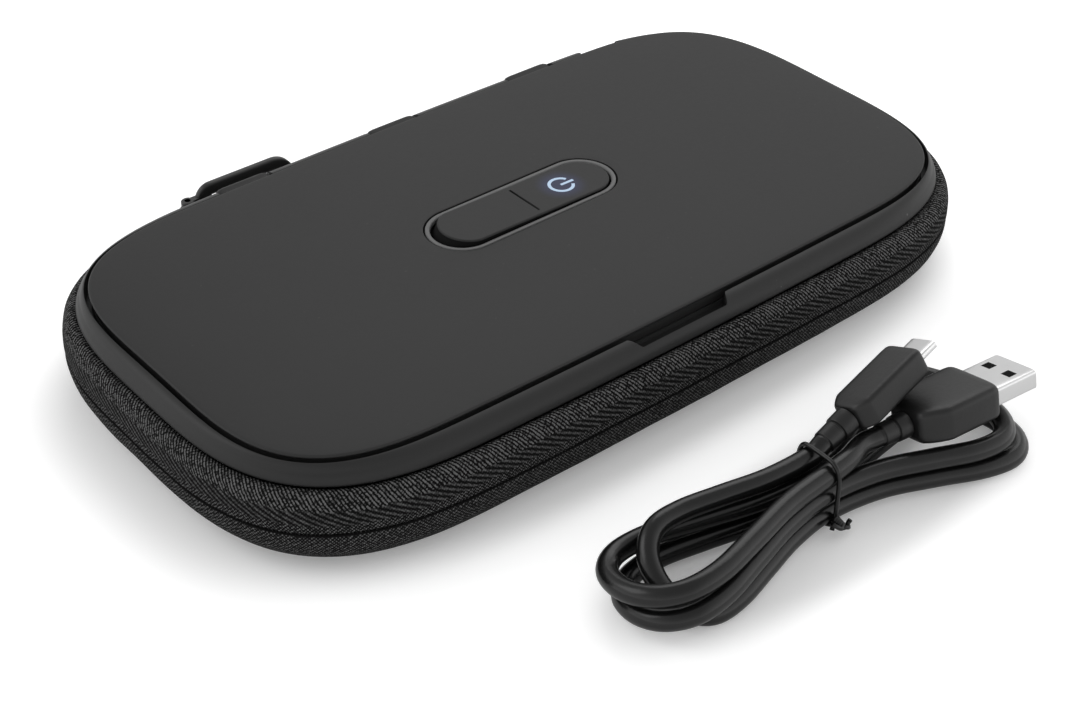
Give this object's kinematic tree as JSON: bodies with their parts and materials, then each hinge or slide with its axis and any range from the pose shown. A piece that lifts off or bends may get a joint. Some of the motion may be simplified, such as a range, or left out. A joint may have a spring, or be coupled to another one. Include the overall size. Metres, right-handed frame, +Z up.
{
  "type": "uv sanitizer box for phones",
  "caption": "Zip-up soft case with a hinged lid of ultraviolet lamps over a mirror-lined phone chamber, a power key in the lid and a charging cord beside it.",
  "frame": {"origin": "middle of the flat bottom of the case", "axes": "+X along the length, +Y towards the hinge and the zip pull, +Z up"},
  "size_m": [0.2098, 0.1768, 0.0269],
  "materials": {
    "soft_touch": "matte",
    "rim_rubber": "satin",
    "shell_board": "matte",
    "zip_fabric": "matte",
    "zip_black": "satin",
    "seal_rubber": "matte",
    "mirror_film": "gloss",
    "steel": "satin",
    "dark_plastic": "matte",
    "quartz": "gloss",
    "circuit_board": "satin",
    "lamp_ceramic": "gloss",
    "cell_foil": "satin",
    "foam": "matte",
    "bezel_grey": "satin",
    "lit_white": "gloss",
    "slider_black": "satin",
    "pull_black": "satin",
    "cord_black": "satin",
    "plug_black": "satin",
    "plug_metal": "gloss",
    "contact_white": "gloss"
  },
  "bodies": {
    "base": {"base_shell": "shell_board", "base_mirror": "mirror_film", "zip_tape_lower": "zip_fabric", "zip_coil_lower": "zip_black", "expansion_gusset": "zip_fabric", "cord_hank": "cord_black", "tie_wire": "zip_black", "usb_housing": "plug_black", "usb_shell": "plug_metal", "usb_tongue": "contact_white", "micro_housing": "plug_black", "micro_shell": "plug_metal", "micro_tongue": "dark_plastic"},
    "upper": {"rim_frame": "rim_rubber", "rim_wall": "shell_board", "rim_gasket": "seal_rubber", "rim_magnets": "steel", "hinge_pin": "steel", "zip_tape_upper": "zip_fabric", "zip_coil_upper": "zip_black"},
    "lid": {"lid_cover": "soft_touch", "lid_tray": "dark_plastic", "lid_mirror": "mirror_film", "lamp_windows": "quartz", "lamp_board": "circuit_board", "uv_lamps": "lamp_ceramic", "control_board": "circuit_board", "battery": "cell_foil", "battery_pad": "foam", "key_switch": "steel", "sign_led": "lit_white", "charge_socket": "steel", "lid_magnets": "steel", "lid_sensor": "dark_plastic", "lid_screws": "steel", "button_bezel": "bezel_grey"},
    "key": {"power_key": "soft_touch", "power_sign": "lit_white", "switch_plunger": "dark_plastic"},
    "slider": {"zip_slider": "slider_black", "pull_pin": "steel"},
    "pull": {"pull_tab": "pull_black"}
  },
  "joints": [
    {"name": "expand", "type": "slide", "parent": "base", "child": "upper", "axis": [0, 0, 1], "range_m": [0, 0.03], "deforming": ["expansion_gusset"]},
    {"name": "lid_hinge", "type": "hinge", "parent": "upper", "child": "lid", "pos_m": [0, 0.053, 0.0227], "axis": [-1, 0, 0], "range_deg": [0, 100]},
    {"name": "key_press", "type": "slide", "parent": "lid", "child": "key", "axis": [0, 0, -1], "range_m": [0, 0.0006], "stiffness_N_per_m": 1500, "springref_m": -0.0004},
    {"name": "zip_run", "type": "slide", "parent": "base", "child": "slider", "axis": [1, 0, 0], "range_m": [0, 0.1]},
    {"name": "pull_swing", "type": "hinge", "parent": "slider", "child": "pull", "pos_m": [-0.053, 0.06185, 0.0144], "axis": [0, 0, 1], "range_deg": [0, 170]}
  ]
}
